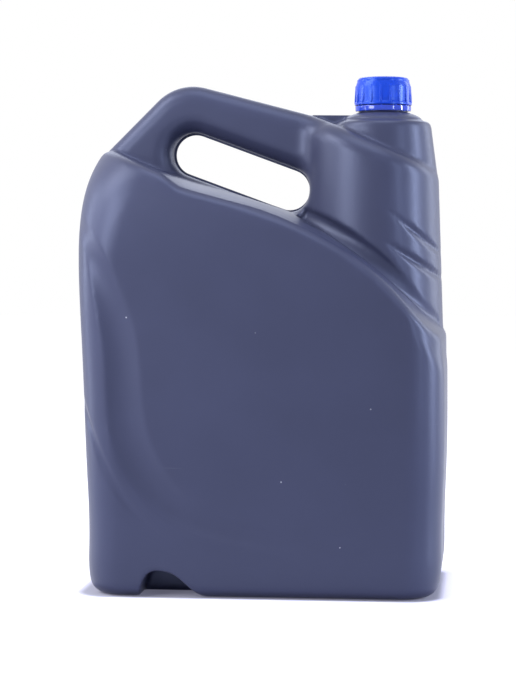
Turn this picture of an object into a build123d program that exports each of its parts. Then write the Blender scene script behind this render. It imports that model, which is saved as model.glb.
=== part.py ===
"""Ten-litre blow-moulded fluid jug with a moulded handle, a ribbed screw cap, its tamper ring and its liner.

Millimetres, +Z up, +X towards the neck, -Y towards the viewer. The mould parts on the plane Y = 0, so every
form is mirrored across it. The origin is under the middle of the base.
"""
import math
import os

from build123d import *

# Driving sizes of the body. Outline points below are shares of half the width and of the height.
BODY_WIDTH = 260.0
BODY_DEPTH = 158.0
BODY_HEIGHT = 362.0
WALL = 1.6
HALF_WIDTH = BODY_WIDTH / 2
HALF_DEPTH = BODY_DEPTH / 2

# Rounded box below the roof
CORNER_RADIUS = 27.0
BASE_EDGE_RADIUS = 12.0
LEFT_FOOT_INSET = 8.5
RIGHT_FOOT_INSET = 3.5
SHOULDER_START = 0.66
SHOULDER_INSET = 17.0
SHOULDER_EXTRA_RADIUS = 25.0
ROLL_START = 0.74
ROLL_DEPTH = 25.0
BOX_TOP = 0.89
BOX_LEVELS = (0.10, 0.25, 0.45, 0.62, 0.72, 0.80, 0.85, BOX_TOP)

# Roof of the box: gentle under the handle, diving to the right side
ROOF = ((-0.935, 0.882), (-0.730, 0.853), (-0.540, 0.824), (-0.154, 0.783), (0.230, 0.735),
        (0.446, 0.695), (0.662, 0.641), (0.846, 0.573), (1.073, 0.479))
ROOF_EDGE_RADIUS = 9.0

# Handle and barrel, one form standing on the roof
HANDLE_DEPTH = 38.0
BARREL_DEPTH = 106.0
BARREL_LEFT = 58.0
BARREL_RIGHT = 41.3
BARREL_TAPER = 3.6
BARREL_BLEND = 18.0
ARM_FOOT = (-0.892, 0.87)
ARM_CORNER = (-0.495, 1.011)
HANDLE_END = (0.200, 0.945)
BARREL_RIDGE = ((0.361, 0.925), (0.627, 0.881), (0.892, 0.840), (1.083, 0.813))
HANDLE_CORNER_RADIUS = 36.0
TOP_EDGE_RADIUS = 12.5
GRIP_LENGTH = 105.0
GRIP_HEIGHT = 32.0
GRIP_CENTRE = (-0.137, 0.8276)
GRIP_SLOPE = 20.4
GRIP_EDGE_RADIUS = 14.0

# Diagonal gills on the right of the barrel, and the long hollow down the left of the panel
GILLS = ((0.817, 0.713, 39.0), (0.807, 0.658, 33.0))
GILL_DEPTH = 5.2
GILL_UPPER_FLANK = 9.0
GILL_LOWER_FLANK = 5.0
HOLLOW_DEPTH = 3.0
HOLLOW_RADIUS = 32.0
HOLLOW_PATH = ((-0.995, 0.735, 0.3), (-0.885, 0.665, 0.9), (-0.765, 0.52, 1.0), (-0.715, 0.352, 1.0),
               (-0.64, 0.265, 1.0), (-0.47, 0.187, 0.9), (-0.13, 0.134, 0.6), (0.50, 0.085, -0.15))
HEEL_DEPTH = 1.1
HEEL_RADIUS = 7.0
HEEL_PATH = ((-0.965, 0.385, -0.4), (-0.903, 0.322, 1.0), (-0.822, 0.256, 1.0), (-0.699, 0.183, 1.0),
             (-0.549, 0.131, 0.6), (-0.42, 0.110, -0.4))

# Groove round the foot of the barrel, deepest beside the grip hole, and the web between handle and collar
GROOVE_RADIUS = 5.0
GROOVE_LIFT = 2.5
GROOVE_START = 0.20
WEB_THICKNESS = 3.0
WEB_TOP = 0.941
SEAM_HEIGHT = 1.4
SEAM_WIDTH = 1.6

# Finger pockets and hollow of the base
POCKET_LEFT = -0.638
POCKET_PEAK = -0.535
POCKET_RIGHT = -0.255
POCKET_HEIGHT = 19.0
POCKET_REACH = 35.0
BASE_HOLLOW_LENGTH = 190.0
BASE_HOLLOW_WIDTH = 70.0
BASE_HOLLOW_RISE = 3.0

# Neck, all radii about the neck axis and heights above the collar foot
NECK_X = 0.646 * HALF_WIDTH
COLLAR_Z = 0.928 * BODY_HEIGHT
COLUMN_TOP_RADIUS = 34.2
COLUMN_SLOPE = 7.5
COLUMN_EDGE_RADIUS = 4.5
COLLAR_RADIUS = 27.4
COLLAR_STEP = 2.2
NECK_RADIUS = 17.2
NECK_BORE_RADIUS = 14.6
NECK_HEIGHT = 28.3
RING_BEAD_RADIUS = 18.3

# Cap, ring and liner
CAP_RADIUS = 20.0
CAP_RIB_PROUD = 0.8
CAP_RIBS = 18
CAP_RIB_TURN = 7.6
CAP_RIB_WIDTH = 1.6
CAP_WALL = 1.2
CAP_TOP_WALL = 1.9
LINER_THICKNESS = 1.3
LINER_CLEARANCE = 0.3
RING_HEIGHT = 3.9
RING_GAP = 0.5
RING_CLEARANCE = 0.4
RING_LIFT = 7.2
RIM_Z = COLLAR_Z + NECK_HEIGHT


def at(point):
    """Place a point given as shares of half the width and of the height."""
    return (point[0] * HALF_WIDTH, point[1] * BODY_HEIGHT)


def left_side(z):
    """Left side of the box at a height: it leans out, then rolls in at the shoulder."""
    lean = LEFT_FOOT_INSET * (1 - min(1.0, z / (0.69 * BODY_HEIGHT)) ** 1.3)
    over = max(0.0, z / BODY_HEIGHT - SHOULDER_START) / (BOX_TOP - SHOULDER_START)
    return -HALF_WIDTH + lean + SHOULDER_INSET * over ** 3


def left_radius(z):
    """Corner radius of the left side, growing into a round end at the shoulder."""
    over = max(0.0, z / BODY_HEIGHT - SHOULDER_START + 0.04) / (BOX_TOP - SHOULDER_START + 0.04)
    return CORNER_RADIUS + SHOULDER_EXTRA_RADIUS * over


def half_depth(z):
    """Half the depth of the box at a height: the front and back roll in above the shoulder."""
    over = max(0.0, z / BODY_HEIGHT - ROLL_START) / (BOX_TOP - ROLL_START)
    return HALF_DEPTH - ROLL_DEPTH * over ** 2


def right_side(z):
    """Right side of the box at a height, drawn in a little towards the foot."""
    return HALF_WIDTH - RIGHT_FOOT_INSET * max(0.0, 1 - z / (0.30 * BODY_HEIGHT)) ** 2


def box_section(z, inset, left_corner):
    """One level of the rounded box as a flat face."""
    left = left_side(z) + inset
    right = right_side(z) - inset
    half = half_depth(z) - inset
    left_r = left_corner - inset
    right_r = CORNER_RADIUS - inset
    with BuildSketch(Plane.XY.offset(z)) as level:
        with BuildLine():
            front = Line((left + left_r, -half), (right - right_r, -half))
            front_right = RadiusArc(front @ 1, (right, right_r - half), -right_r)
            end = Line(front_right @ 1, (right, half - right_r))
            back_right = RadiusArc(end @ 1, (right - right_r, half), -right_r)
            back = Line(back_right @ 1, (left + left_r, half))
            back_left = RadiusArc(back @ 1, (left, half - left_r), -left_r)
            side = Line(back_left @ 1, (left, left_r - half))
            RadiusArc(side @ 1, front @ 0, -left_r)
        make_face()
    return level.sketch.face()


def upright_prism(sketch):
    """Run a face drawn on the XZ plane right through the depth."""
    return extrude(sketch, BODY_DEPTH + 100, dir=(0, -1, 0))


def box_form(inset):
    """Rounded box, lofted up from the base and trimmed by the roof curve, with the roof edge rounded."""
    levels = []
    round_r = BASE_EDGE_RADIUS - inset
    for turn in (0.0, 30.0, 60.0, 90.0):
        z = inset + round_r * (1 - math.cos(math.radians(turn)))
        pull = inset + round_r * (1 - math.sin(math.radians(turn)))
        levels.append(box_section(z, pull, CORNER_RADIUS))
    for share in BOX_LEVELS:
        z = share * BODY_HEIGHT
        levels.append(box_section(z, inset, left_radius(z)))
    box = loft(levels)
    with BuildSketch(Plane.XZ.offset(-HALF_DEPTH - 50)) as above:
        with BuildLine():
            curve = Spline(*[(at(p)[0], at(p)[1] - inset) for p in ROOF])
            far = 2 * HALF_WIDTH
            high = 1.3 * BODY_HEIGHT
            Polyline(curve @ 1, (far, (curve @ 1).Y), (far, high), (-far, high),
                     (-far, (curve @ 0).Y), curve @ 0)
        make_face()
    box = box - upright_prism(above.sketch)
    roof = box.faces().filter_by(GeomType.EXTRUSION).sort_by(SortBy.AREA)[-1]
    return fillet(roof.outer_wire().edges(), ROOF_EDGE_RADIUS - inset)


def barrel_plan(z, inset, taper):
    """Handle bar and egg-shaped barrel seen from above, blended where they meet."""
    half_bar = HANDLE_DEPTH / 2 - inset
    deep = BARREL_DEPTH / 2 - inset + taper
    left = BARREL_LEFT - inset + taper
    right = BARREL_RIGHT - inset + taper
    with BuildSketch(Plane.XY.offset(z)) as level:
        with BuildLine():
            EllipticalCenterArc((NECK_X, 0), left, deep, start_angle=90, arc_size=180)
            EllipticalCenterArc((NECK_X, 0), right, deep, start_angle=270, arc_size=180)
        make_face()
        bar_left = -1.1 * HALF_WIDTH
        with Locations(((bar_left + NECK_X) / 2, 0)):
            Rectangle(NECK_X - bar_left, 2 * half_bar)
        meets = NECK_X - left * math.sqrt(1 - (half_bar / deep) ** 2)
        corners = [v for v in level.vertices() if abs(v.X - meets) < 0.5]
        fillet(corners, BARREL_BLEND + inset)
    return level.sketch.face()


def handle_outline(inset):
    """Top line of the handle and barrel on the XZ plane, from the foot of the arm to the right."""
    foot = at(ARM_FOOT)
    corner = at(ARM_CORNER)
    end = at(HANDLE_END)
    slope = Vector(end[0] - corner[0], end[1] - corner[1]).normalized()
    rise = Vector(corner[0] - foot[0], corner[1] - foot[1]).normalized()
    shift_arm = Vector(rise.Y, -rise.X) * inset
    shift_top = Vector(slope.Y, -slope.X) * inset
    arm_start = Vector(*foot) + shift_arm
    top_end = Vector(*end) + shift_top
    reach = ((top_end - arm_start).cross(slope).Z) / (rise.cross(slope).Z)
    knee = arm_start + rise * reach
    ridge = [Vector(*at(p)) + shift_top for p in BARREL_RIDGE]
    return arm_start, knee, top_end, ridge, slope


def handle_form(inset):
    """Handle and barrel with the grip hole, all their long edges rounded."""
    low_z = 0.42 * BODY_HEIGHT
    high_z = 1.03 * BODY_HEIGHT
    form = loft([barrel_plan(low_z, inset, BARREL_TAPER), barrel_plan(high_z, inset, -BARREL_TAPER)])
    arm_start, knee, top_end, ridge, slope = handle_outline(inset)
    with BuildSketch(Plane.XZ.offset(-HALF_DEPTH - 50)) as side:
        with BuildLine():
            arm = Line(arm_start, knee)
            bar = Line(knee, top_end)
            crest = Spline(bar @ 1, *ridge, tangents=(slope, (ridge[-1] - ridge[-2]).normalized()))
            inner_x = -0.86 * HALF_WIDTH + inset
            Polyline(crest @ 1, ((crest @ 1).X, low_z + 5), (inner_x, low_z + 5),
                     (inner_x, 0.83 * BODY_HEIGHT), arm @ 0)
        make_face()
        fillet(side.vertices().sort_by(Axis.Y)[-1], HANDLE_CORNER_RADIUS - inset)
        with Locations(Location(at(GRIP_CENTRE), -GRIP_SLOPE)):
            SlotOverall(GRIP_LENGTH + 2 * inset, GRIP_HEIGHT + 2 * inset, mode=Mode.SUBTRACT)
    form = (form & upright_prism(side.sketch)).solid()
    grip = [e for e in form.edges() if in_grip(e)]
    form = fillet(grip, GRIP_EDGE_RADIUS - inset).solid()
    crest_edges = [e for e in form.edges() if follows(e, (arm, bar, crest))]
    return fillet(crest_edges, TOP_EDGE_RADIUS - inset).solid()


def in_grip(edge):
    """True for an edge that runs round the mouth of the grip hole."""
    middle = edge.center()
    centre = at(GRIP_CENTRE)
    turn = math.radians(GRIP_SLOPE)
    dx = middle.X - centre[0]
    dz = middle.Z - centre[1]
    along = dx * math.cos(turn) - dz * math.sin(turn)
    across = dx * math.sin(turn) + dz * math.cos(turn)
    inside = abs(along) < GRIP_LENGTH / 2 + 5 and abs(across) < GRIP_HEIGHT / 2 + 3
    return inside and abs(middle.Y) > HANDLE_DEPTH / 4


def follows(edge, curves):
    """True for an edge that lies on one of the curves, seen from the front, and runs along it."""
    size = edge.bounding_box().size
    spots = [edge @ share for share in (0.1, 0.5, 0.9)]
    gaps = [min(c.distance_to(Vector(p.X, p.Z, 0)) for c in curves) for p in spots]
    return max(size.X, size.Z) > 1.0 and max(gaps) < 0.05


def column_form(inset):
    """Cone under the neck, with the collar and the neck itself on the outside form."""
    foot_z = 0.80 * BODY_HEIGHT
    lean = math.tan(math.radians(COLUMN_SLOPE))
    top = COLLAR_Z - inset
    top_r = COLUMN_TOP_RADIUS - inset
    with BuildSketch(Plane.XZ) as half:
        with BuildLine():
            wall = Line((top_r + lean * (top - foot_z), foot_z), (top_r, top))
            lid = Line(wall @ 1, (0, top))
            Polyline(lid @ 1, (0, foot_z), wall @ 0)
        make_face()
        fillet(half.vertices().filter_by(lambda v: v.X > 1).sort_by(Axis.Y)[-1], COLUMN_EDGE_RADIUS)
    return Pos(NECK_X, 0, 0) * revolve(half.sketch, Axis.Z)


def neck_form():
    """Collar dome, neck tube and the bead that keeps the tamper ring on."""
    dome_z = COLLAR_Z + COLLAR_STEP
    tube_z = COLLAR_Z + RING_LIFT - 1.0
    dome_r = 0.55 * COLLAR_RADIUS + 0.45 * NECK_RADIUS + 0.8
    dome_mid_z = 0.45 * dome_z + 0.55 * tube_z
    bead_z = COLLAR_Z + RING_LIFT + RING_HEIGHT - 0.6
    with BuildSketch(Plane.XZ) as half:
        with BuildLine():
            step = Line((COLLAR_RADIUS + 0.4, COLLAR_Z - 3), (COLLAR_RADIUS, dome_z))
            dome = ThreePointArc(step @ 1, (dome_r, dome_mid_z), (NECK_RADIUS + 1.0, tube_z))
            Polyline(dome @ 1, (NECK_RADIUS, tube_z), (NECK_RADIUS, bead_z), (RING_BEAD_RADIUS, bead_z),
                     (RING_BEAD_RADIUS, bead_z + 0.6), (NECK_RADIUS, bead_z + 2.4), (NECK_RADIUS, RIM_Z),
                     (0, RIM_Z), (0, COLLAR_Z - 3), step @ 0)
        make_face()
    return Pos(NECK_X, 0, 0) * revolve(half.sketch, Axis.Z)


def gill_cutters(grow):
    """Rings of a lopsided V that bite into the right of the barrel and fade out at its front and right."""
    cutters = []
    for u, v, slope in GILLS:
        x, z = at((u, v))
        rise = math.sin(math.radians(slope))
        stretch = math.cos(math.radians(slope))
        right = BARREL_RIGHT / stretch - grow
        front = BARREL_DEPTH / 2 - grow
        bite = GILL_DEPTH + 0.9 * grow
        middle = math.sqrt(0.5) - bite / (right + front)
        for side in (-1, 1):
            arc = ThreePointArc((right, 0), (middle * right, side * middle * front), (0, side * front))
            centre = arc.arc_center
            reach = arc.radius
            out = reach + 9
            flanks = ((out, 0, GILL_UPPER_FLANK), (out, 0, -GILL_LOWER_FLANK))
            tooth = make_face(Polyline((reach, 0, 0), *flanks, (reach, 0, 0)))
            first_turn = -110 if side < 0 else -10
            ring = revolve(Rot(0, 0, first_turn) * tooth, Axis.Z, 120)
            plane = Plane(origin=(x, 0, z), x_dir=(stretch, 0, -rise), z_dir=(rise, 0, stretch))
            place = Pos((NECK_X - x) / stretch + centre.X, centre.Y, -0.25 * grow)
            cutters.append(plane.location * place * ring)
    return cutters


def panel_sweep(path, radius, depth, grow):
    """Round cutter run along the panel and its left corner, front and back, fading out at its ends."""
    route = []
    for u, v, share in path:
        x, z = at((u, v))
        corner = left_side(z) + CORNER_RADIUS
        lean = math.asin(min(1.0, max(0.0, corner - x) / CORNER_RADIUS))
        out = radius - depth * share
        y = HALF_DEPTH - CORNER_RADIUS + (CORNER_RADIUS + out) * math.cos(lean)
        route.append(Vector(x - out * math.sin(lean), -y, z))
    spine = Spline(*route)
    front = sweep(Plane(origin=spine @ 0, z_dir=spine % 0) * Circle(radius + grow), path=spine)
    return [front, mirror(front, Plane.XZ)]


def roof_height(x, curve):
    """Height of the roof curve above a place along the width."""
    low, high = 0.0, 1.0
    for _ in range(40):
        middle = (low + high) / 2
        low, high = (middle, high) if (curve @ middle).X < x else (low, middle)
    return (curve @ low).Y


def groove_cutters(grow):
    """Round groove where the barrel stands on the roof; it lifts off the surface towards the right side."""
    curve = Spline(*[at(p) for p in ROOF])
    start_x = GROOVE_START * HALF_WIDTH - 1.2 * grow
    route = []
    for step in range(6):
        share = step / 5
        x = start_x + (NECK_X + 0.97 * BARREL_RIGHT - start_x) * share
        reach = BARREL_RIGHT if x > NECK_X else BARREL_LEFT
        bow = math.sqrt(max(0.0, 1 - ((x - NECK_X) / reach) ** 2))
        y = BARREL_DEPTH / 2 * bow + GROOVE_RADIUS * share
        if x < NECK_X:
            y = max(HANDLE_DEPTH / 2, y)
        route.append(Vector(x + GROOVE_RADIUS * share ** 2, -y, roof_height(x, curve) + GROOVE_LIFT))
    spine = Spline(*route)
    front = sweep(Plane(origin=spine @ 0, z_dir=spine % 0) * Circle(GROOVE_RADIUS + grow), path=spine)
    return [front, mirror(front, Plane.XZ)]


def web_form():
    """Flat web on the parting plane between the end of the handle and the collar."""
    left_x = at(HANDLE_END)[0] + 6
    top_z = WEB_TOP * BODY_HEIGHT
    with BuildSketch(Plane.XZ.offset(-WEB_THICKNESS / 2)) as side:
        with BuildLine():
            Polyline((left_x, top_z - 14), (left_x, top_z + 0.5), (NECK_X - NECK_RADIUS, top_z),
                     (NECK_X - NECK_RADIUS, top_z - 30), (left_x, top_z - 14))
        make_face()
    return extrude(side.sketch, WEB_THICKNESS, dir=(0, -1, 0))


def seam_form():
    """Pinched seam that stands inside the grip hole on the parting plane."""
    with BuildSketch(Plane.XZ.offset(-SEAM_WIDTH / 2)) as side:
        with Locations(Location(at(GRIP_CENTRE), -GRIP_SLOPE)):
            SlotOverall(GRIP_LENGTH + 4, GRIP_HEIGHT + 4)
            SlotOverall(GRIP_LENGTH - 2 * SEAM_HEIGHT, GRIP_HEIGHT - 2 * SEAM_HEIGHT, mode=Mode.SUBTRACT)
    return extrude(side.sketch, SEAM_WIDTH, dir=(0, -1, 0))


def pocket_cutters(grow):
    """Finger pockets in the lower left edge: a steep end, a round top and a long ramp, front and back."""
    left = POCKET_LEFT * HALF_WIDTH - grow
    right = POCKET_RIGHT * HALF_WIDTH + 2 * grow
    peak = (POCKET_PEAK * HALF_WIDTH, POCKET_HEIGHT + grow)
    with BuildSketch(Plane.XZ.offset(HALF_DEPTH + 5)) as side:
        with BuildLine():
            end = Line((left - 1, -3), (left + 2, 0.45 * POCKET_HEIGHT))
            crown = Spline(end @ 1, peak, tangents=(end % 1, (1, 0)))
            ramp = Spline(crown @ 1, (right, -1), tangents=((1, 0), (1, -0.2)))
            Polyline(ramp @ 1, (right, -3), end @ 0)
        make_face()
    front = extrude(side.sketch, POCKET_REACH + 5 + grow, dir=(0, 1, 0))
    return [front, mirror(front, Plane.XZ)]


def base_hollow(grow):
    """Shallow rise in the middle of the base, so the jug stands on its rim."""
    face = RectangleRounded(BASE_HOLLOW_LENGTH + 2 * grow, BASE_HOLLOW_WIDTH + 2 * grow, 18 + grow)
    return extrude(Pos(0, 0, -1) * face, BASE_HOLLOW_RISE + 1 + grow, taper=12)


def jug_form(inset):
    """The jug's outside at inset 0, or its inside at the wall thickness."""
    form = box_form(inset) + handle_form(inset) + column_form(inset)
    cutters = groove_cutters(inset) + gill_cutters(inset) + pocket_cutters(inset) + [base_hollow(inset)]
    cutters = cutters + panel_sweep(HOLLOW_PATH, HOLLOW_RADIUS, HOLLOW_DEPTH, inset)
    cutters = cutters + panel_sweep(HEEL_PATH, HEEL_RADIUS, HEEL_DEPTH, inset)
    form = form - cutters
    if inset == 0:
        return (form + neck_form() + web_form() + seam_form()).solid()
    bore = Cylinder(NECK_BORE_RADIUS, NECK_HEIGHT + 20, align=(Align.CENTER, Align.CENTER, Align.MIN))
    return (form + Pos(NECK_X, 0, COLLAR_Z - 10) * bore).solid()


def make_jug():
    """Blown shell: outside form less the inside form."""
    return (jug_form(0.0) - jug_form(WALL)).solid()


def make_cap():
    """Ribbed screw cap with a cone top, hollow below."""
    foot_z = COLLAR_Z + RING_LIFT + RING_HEIGHT + RING_GAP
    seat_z = RIM_Z + LINER_THICKNESS
    top_z = seat_z + CAP_TOP_WALL
    rib_top = top_z - 6.6
    inner = CAP_RADIUS - CAP_WALL
    with BuildSketch(Plane.XZ) as half:
        with BuildLine():
            Polyline((inner, foot_z), (CAP_RADIUS + 0.5, foot_z), (CAP_RADIUS + 0.5, foot_z + 1.8),
                     (CAP_RADIUS, foot_z + 2.3), (CAP_RADIUS, rib_top), (CAP_RADIUS - 1.6, top_z), (0, top_z),
                     (0, seat_z), (inner, seat_z), (inner, foot_z))
        make_face()
        fillet(half.vertices().filter_by(lambda v: v.X > 1).sort_by(Axis.Y)[-1], 2.2)
    cap = revolve(half.sketch, Axis.Z)
    rib_height = rib_top - foot_z - 0.6
    rib = Box(CAP_RIB_PROUD + 1.0, CAP_RIB_WIDTH, rib_height, align=(Align.MAX, Align.CENTER, Align.MIN))
    rib = Pos(CAP_RADIUS + CAP_RIB_PROUD, 0, foot_z + 1.2) * rib
    for number in range(CAP_RIBS):
        cap = cap + Rot(0, 0, CAP_RIB_TURN + 360 / CAP_RIBS * number) * rib
    return Pos(NECK_X, 0, 0) * cap.solid()


def make_ring():
    """Tamper ring: a band with an inward hook that sits under the bead of the neck."""
    foot_z = COLLAR_Z + RING_LIFT
    with BuildSketch(Plane.XZ) as half:
        with BuildLine():
            inner = NECK_RADIUS + RING_CLEARANCE
            Polyline((inner, foot_z + 0.4), (inner + 1.2, foot_z), (CAP_RADIUS, foot_z),
                     (CAP_RADIUS + 0.2, foot_z + RING_HEIGHT), (CAP_RADIUS - 1.0, foot_z + RING_HEIGHT),
                     (CAP_RADIUS - 1.1, foot_z + 2.4), (inner, foot_z + 2.4), (inner, foot_z + 0.4))
        make_face()
    return Pos(NECK_X, 0, 0) * revolve(half.sketch, Axis.Z)


def make_liner():
    """Sealing wad between the rim of the neck and the top of the cap."""
    radius = CAP_RADIUS - CAP_WALL - LINER_CLEARANCE
    wad = Cylinder(radius, LINER_THICKNESS, align=(Align.CENTER, Align.CENTER, Align.MIN))
    return Pos(NECK_X, 0, RIM_Z) * wad


os.makedirs("parts", exist_ok=True)
export_step(make_jug(), "parts/jug_body.step")
export_step(make_cap(), "parts/screw_cap.step")
export_step(make_ring(), "parts/tamper_ring.step")
export_step(make_liner(), "parts/cap_liner.step")
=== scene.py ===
"""Looks of the fluid jug: the blown shell, its neck, the ribbed cap, the tamper ring and a white studio."""

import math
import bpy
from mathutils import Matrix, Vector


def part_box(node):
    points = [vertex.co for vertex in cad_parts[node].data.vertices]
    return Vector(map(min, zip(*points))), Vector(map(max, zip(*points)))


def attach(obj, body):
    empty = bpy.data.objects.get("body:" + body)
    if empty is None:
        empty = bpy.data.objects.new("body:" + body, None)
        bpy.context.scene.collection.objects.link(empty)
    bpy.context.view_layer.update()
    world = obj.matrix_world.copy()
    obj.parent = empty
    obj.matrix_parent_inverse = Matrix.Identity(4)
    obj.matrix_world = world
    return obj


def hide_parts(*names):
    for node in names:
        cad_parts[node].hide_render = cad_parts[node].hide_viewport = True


bl_info = {
    "name": "Fluid jug",
    "version": (1, 0, 0),
    "blender": (4, 5, 0),
    "location": "View3D > Sidebar > Jug",
    "description": "Dresses the packed fluid jug and builds its studio",
    "category": "Object",
}

import bmesh
import bpy
from mathutils import Matrix, Vector

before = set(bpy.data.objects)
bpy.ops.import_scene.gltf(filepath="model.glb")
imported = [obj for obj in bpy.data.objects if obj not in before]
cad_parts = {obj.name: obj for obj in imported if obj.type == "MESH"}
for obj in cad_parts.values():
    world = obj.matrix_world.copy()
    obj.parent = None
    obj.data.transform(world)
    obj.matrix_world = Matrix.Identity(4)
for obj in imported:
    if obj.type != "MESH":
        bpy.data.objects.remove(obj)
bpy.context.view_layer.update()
MM = 0.001


def box_of(node):
    """Lowest and highest corner of a node, as vectors."""
    low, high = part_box(node)
    return Vector(low), Vector(high)


CAP_LOW, CAP_HIGH = box_of("screw_cap")
RING_LOW, RING_HIGH = box_of("tamper_ring")
LINER_LOW, LINER_HIGH = box_of("cap_liner")
JUG_HIGH = box_of("jug_body")[1]
NECK_X = (LINER_LOW.x + LINER_HIGH.x) / 2
RIM_Z = LINER_LOW.z

# Faces of the jug this close to the neck's axis belong to the neck, and the skin is cut there, below the ring
NECK_REACH = 21.0 * MM
SKIN_CUT = 0.4 * MM
# Roof of the box on the parting plane, from the left of the grip to the right side
ROOF_LINE = [(x * MM, z * MM) for x, z in ((-70.2, 298.3), (-20.0, 283.4), (29.9, 266.1), (58.0, 251.6),
                                           (86.1, 232.0), (110.0, 207.4), (139.5, 173.4))]

# Vertices closer than this are one, in a copied mesh and in a spun one
WELD = 0.02 * MM
SPIN_WELD = 1e-6
CUT_TOLERANCE = 1e-7
# The pinched seam of the solid: half its width with room to spare, and the most it stands out
SEAM_BAND = 3 * MM
SEAM_RISE = 2 * MM

# Steps round the spun forms
NECK_STEPS = 96
CAP_STEPS = 144
SEAM_STEPS = 24
THREAD_STEPS = 64
THREAD_TURNS = 1.9
STUB_COUNT = 12
# Edges sharper than this stay hard; a piece that isn't listed is smooth all over
SHARP_ANGLES = {"jug_neck": math.radians(35), "grip_seam": math.radians(40), "collar_web": math.radians(40),
                "cap_shell": math.radians(32), "tamper_band": math.radians(35)}

# Sockets of a Mix node set to colour, which share their names with its other sockets
MIX_FACTOR, MIX_A, MIX_B, MIX_RESULT = 0, 6, 7, 2
# The values of a noise lie mostly between these
NOISE_LOW, NOISE_HIGH = 0.3, 0.7
# Pale specks: cells in a metre, edge and core of a speck in cells, and how rare a speck is
SPECK_CELLS = 46.0
SPECK_EDGE, SPECK_CORE = 0.030, 0.016
SPECK_RARITY = 0.55
# Faint scuffs: noise stretched sideways and tilted a little, the part of it that shows, and how much
SCUFF_STRETCH = (9.0, 9.0, 260.0)
SCUFF_TILT = (0.0, 0.09, 0.0)
SCUFF_START, SCUFF_FULL = 0.78, 0.82
SCUFF_SHARE = 0.10
# Parting line: distance of its edge and its crest from the plane, and its height over the grain's
LINE_EDGE, LINE_CREST = 0.0009, 0.0003
LINE_HEIGHT = 6.0
LINER_ROUGHNESS = 0.85
CAP_DRIFT, RING_DRIFT = 0.04, 0.02
RING_SPECULAR = 0.6

# Floor: its colour, the colour at the edge of the painted lilac shadow round the foot, the extra blue of its
# core, and how far that painted shadow runs in and out from there
FLOOR_COLOUR = (0.42, 0.42, 0.50, 1.0)
FLOOR_HALF = 6.0
PAINTED_SHADOW_EDGE = (0.74, 0.74, 0.93, 1.0)
PAINTED_SHADOW_BLUE = 1.4
PAINTED_SHADOW_IN, PAINTED_SHADOW_OUT = 6 * MM, 12 * MM
# Studio lights: name, place, size, watts and tint; all of them aim at the jug's middle
MIDDLE = (0, 0, 0.2)
NEUTRAL = (1.0, 1.0, 1.0)
COOL = (0.82, 0.88, 1.0)
COLD = (0.70, 0.78, 1.0)
LAMPS = (
    ("top_box", (0.1, -0.3, 1.5), (0.8, 0.8), 5.5, COOL),
    ("back_box", (0.0, 1.4, 1.0), (1.4, 0.6), 4.0, COLD),
    ("upper_left_box", (-1.0, -0.4, 1.2), (0.8, 0.8), 13.0, NEUTRAL),
    ("near_left_box", (-0.47, -0.52, 0.42), (0.3, 0.3), 2.7, NEUTRAL),
    ("left_strip", (-1.4, 0.2, 0.45), (0.14, 1.0), 6.5, COOL),
    ("left_glint", (-1.2, -0.3, 0.45), (0.05, 0.6), 1.6, NEUTRAL),
    ("front_right_strip", (1.1, -1.0, 0.5), (0.1, 0.8), 4.0, COOL),
    ("right_strip", (1.4, -0.1, 0.45), (0.14, 1.0), 15.0, COOL),
    ("right_back_strip", (1.2, 0.9, 0.5), (0.4, 1.2), 6.5, COOL),
)


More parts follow.
